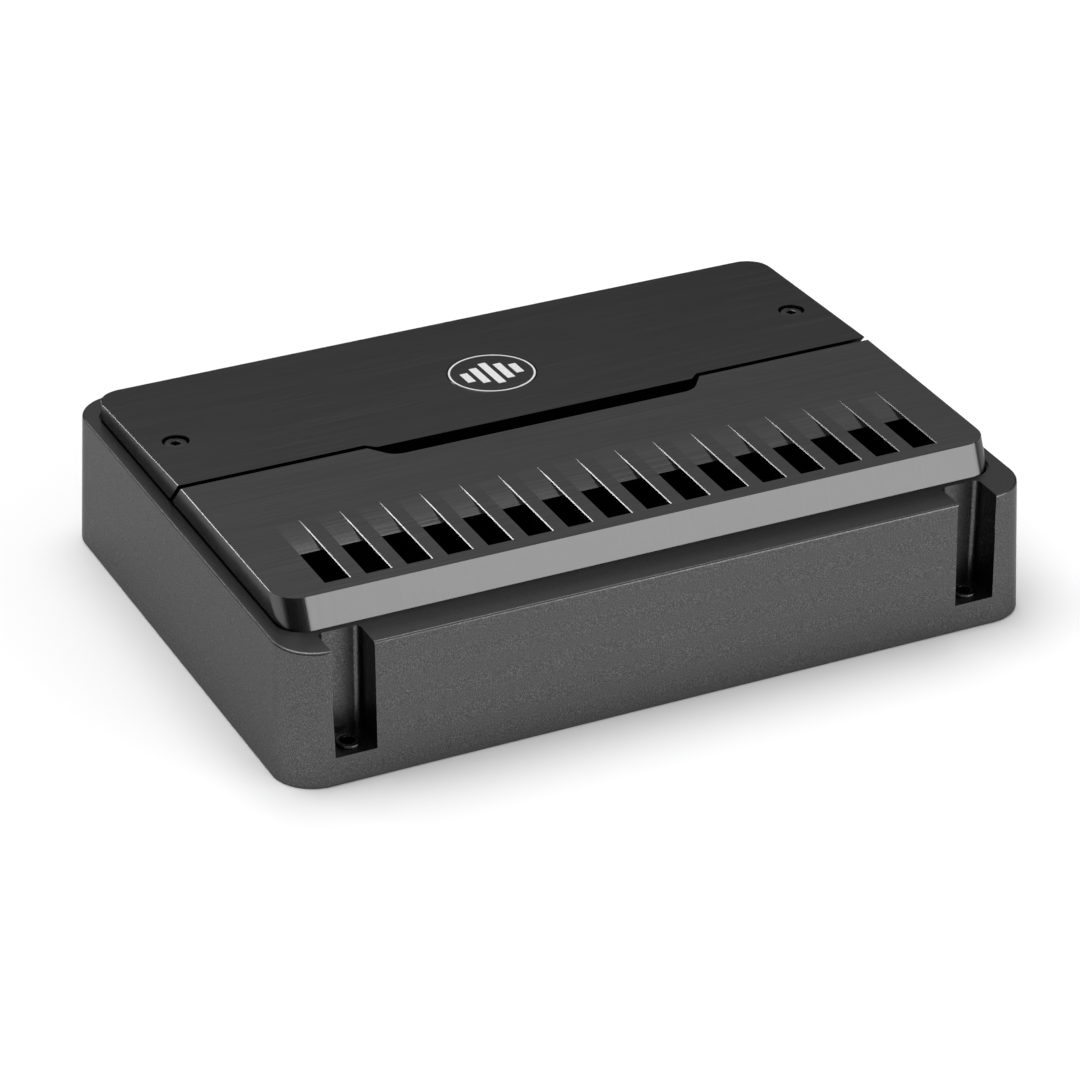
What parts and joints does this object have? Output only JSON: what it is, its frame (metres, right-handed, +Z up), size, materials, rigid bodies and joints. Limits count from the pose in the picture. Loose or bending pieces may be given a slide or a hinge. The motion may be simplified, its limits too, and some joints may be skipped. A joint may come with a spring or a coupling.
{
  "type": "car amplifier",
  "caption": "Compact car amplifier: die-cast chassis with mounting channels, slotted vent cover, lift-off access cover over adjusters and switches, and a panel of sockets and wire terminals.",
  "frame": {"origin": "centre of the chassis base, at the lowest face", "axes": "+X along the length to the right seen from the vent side, +Y towards the connection side, +Z up"},
  "size_m": [0.2486, 0.18, 0.053],
  "materials": {
    "cast_paint": "fine-grained charcoal metallic paint on a die casting",
    "black_anodised": "black anodised, brushed along the length, bright-cut edges",
    "black_steel": "black oxide or black painted steel",
    "zinc_steel": "zinc plated, satin",
    "silver_inlay": "black anodised disc with a bright ring and mark",
    "black_plastic": "moulded black, slightly grained",
    "grey_plastic": "moulded mid grey",
    "white_plastic": "moulded off-white",
    "nickel": "nickel plated",
    "circuit_board": "green solder mask",
    "copper_winding": "enamelled copper wire, wound",
    "capacitor_sleeve": "dark shrink sleeve with a plain can top",
    "thermal_pad": "soft grey pad",
    "light_lens": "translucent green lens"
  },
  "bodies": {
    "chassis": {"chassis": "cast_paint", "vent_cover": "black_anodised", "heatsink": "black_anodised", "bottom_plate": "black_steel", "bottom_screw_1": "black_steel", "bottom_screw_2": "black_steel", "bottom_screw_3": "black_steel", "bottom_screw_4": "black_steel", "mounting_eyelet_front_left": "black_steel", "mounting_eyelet_front_right": "black_steel", "mounting_eyelet_rear_left": "black_steel", "mounting_eyelet_rear_right": "black_steel", "control_panel": "black_steel", "connection_panel": "black_plastic", "power_terminal_block": "black_plastic", "speaker_terminal_block": "black_plastic", "rca_housing": "black_plastic", "remote_level_jack": "black_plastic", "potentiometer_1": "black_plastic", "potentiometer_2": "black_plastic", "potentiometer_3": "black_plastic", "potentiometer_4": "black_plastic", "power_module_1": "black_plastic", "power_module_2": "black_plastic", "power_module_3": "black_plastic", "rca_socket_1": "nickel", "rca_socket_2": "nickel", "rca_socket_3": "nickel", "rca_socket_4": "nickel", "status_light": "light_lens", "control_board": "circuit_board", "main_board": "circuit_board", "switch_body_1": "zinc_steel", "switch_body_2": "zinc_steel", "switch_body_3": "zinc_steel", "module_clamp_bar": "zinc_steel", "thermal_pad": "thermal_pad", "power_transformer": "copper_winding", "input_choke": "copper_winding", "capacitor_1": "capacitor_sleeve", "capacitor_2": "capacitor_sleeve", "capacitor_3": "capacitor_sleeve", "capacitor_4": "capacitor_sleeve"},
    "access_cover": {"access_cover": "black_anodised", "emblem_disc": "silver_inlay"},
    "cover_screw_left": {"cover_screw_left": "black_steel"},
    "cover_screw_right": {"cover_screw_right": "black_steel"},
    "adjuster_knob_1": {"adjuster_knob_1": "grey_plastic"},
    "adjuster_knob_2": {"adjuster_knob_2": "grey_plastic"},
    "adjuster_knob_3": {"adjuster_knob_3": "grey_plastic"},
    "adjuster_knob_4": {"adjuster_knob_4": "grey_plastic"},
    "switch_slider_1": {"switch_slider_1": "white_plastic"},
    "switch_slider_2": {"switch_slider_2": "white_plastic"},
    "switch_slider_3": {"switch_slider_3": "white_plastic"},
    "power_clamp_screw_1": {"power_clamp_screw_1": "nickel"},
    "power_clamp_screw_2": {"power_clamp_screw_2": "nickel"},
    "speaker_clamp_screw_1": {"speaker_clamp_screw_1": "nickel"},
    "speaker_clamp_screw_2": {"speaker_clamp_screw_2": "nickel"},
    "speaker_clamp_screw_3": {"speaker_clamp_screw_3": "nickel"},
    "speaker_clamp_screw_4": {"speaker_clamp_screw_4": "nickel"}
  },
  "joints": [
    {"name": "access_cover_lift", "type": "slide", "parent": "chassis", "child": "access_cover", "axis": [0, 0, 1], "range_m": [0, 0.045]},
    {"name": "cover_screw_left_turn", "type": "hinge", "parent": "access_cover", "child": "cover_screw_left", "pos_m": [-0.107, 0.037, 0.0495], "axis": [0, 0, 1], "range_deg": [0, 720]},
    {"name": "cover_screw_right_turn", "type": "hinge", "parent": "access_cover", "child": "cover_screw_right", "pos_m": [0.107, 0.037, 0.0495], "axis": [0, 0, 1], "range_deg": [0, 720]},
    {"name": "adjuster_knob_1_turn", "type": "hinge", "parent": "chassis", "child": "adjuster_knob_1", "pos_m": [-0.075, 0.027, 0.046], "axis": [0, 0, 1], "range_deg": [-140, 140]},
    {"name": "adjuster_knob_2_turn", "type": "hinge", "parent": "chassis", "child": "adjuster_knob_2", "pos_m": [-0.045, 0.027, 0.046], "axis": [0, 0, 1], "range_deg": [-140, 140]},
    {"name": "adjuster_knob_3_turn", "type": "hinge", "parent": "chassis", "child": "adjuster_knob_3", "pos_m": [-0.015, 0.027, 0.046], "axis": [0, 0, 1], "range_deg": [-140, 140]},
    {"name": "adjuster_knob_4_turn", "type": "hinge", "parent": "chassis", "child": "adjuster_knob_4", "pos_m": [0.015, 0.027, 0.046], "axis": [0, 0, 1], "range_deg": [-140, 140]},
    {"name": "switch_slider_1_slide", "type": "slide", "parent": "chassis", "child": "switch_slider_1", "axis": [1, 0, 0], "range_m": [-0.002, 0.002]},
    {"name": "switch_slider_2_slide", "type": "slide", "parent": "chassis", "child": "switch_slider_2", "axis": [1, 0, 0], "range_m": [-0.002, 0.002]},
    {"name": "switch_slider_3_slide", "type": "slide", "parent": "chassis", "child": "switch_slider_3", "axis": [1, 0, 0], "range_m": [-0.002, 0.002]},
    {"name": "power_clamp_screw_1_drive", "type": "slide", "parent": "chassis", "child": "power_clamp_screw_1", "axis": [0, 0, -1], "range_m": [0, 0.0065]},
    {"name": "power_clamp_screw_2_drive", "type": "slide", "parent": "chassis", "child": "power_clamp_screw_2", "axis": [0, 0, -1], "range_m": [0, 0.0065]},
    {"name": "speaker_clamp_screw_1_drive", "type": "slide", "parent": "chassis", "child": "speaker_clamp_screw_1", "axis": [0, 0, -1], "range_m": [0, 0.0035]},
    {"name": "speaker_clamp_screw_2_drive", "type": "slide", "parent": "chassis", "child": "speaker_clamp_screw_2", "axis": [0, 0, -1], "range_m": [0, 0.0035]},
    {"name": "speaker_clamp_screw_3_drive", "type": "slide", "parent": "chassis", "child": "speaker_clamp_screw_3", "axis": [0, 0, -1], "range_m": [0, 0.0035]},
    {"name": "speaker_clamp_screw_4_drive", "type": "slide", "parent": "chassis", "child": "speaker_clamp_screw_4", "axis": [0, 0, -1], "range_m": [0, 0.0035]}
  ]
}
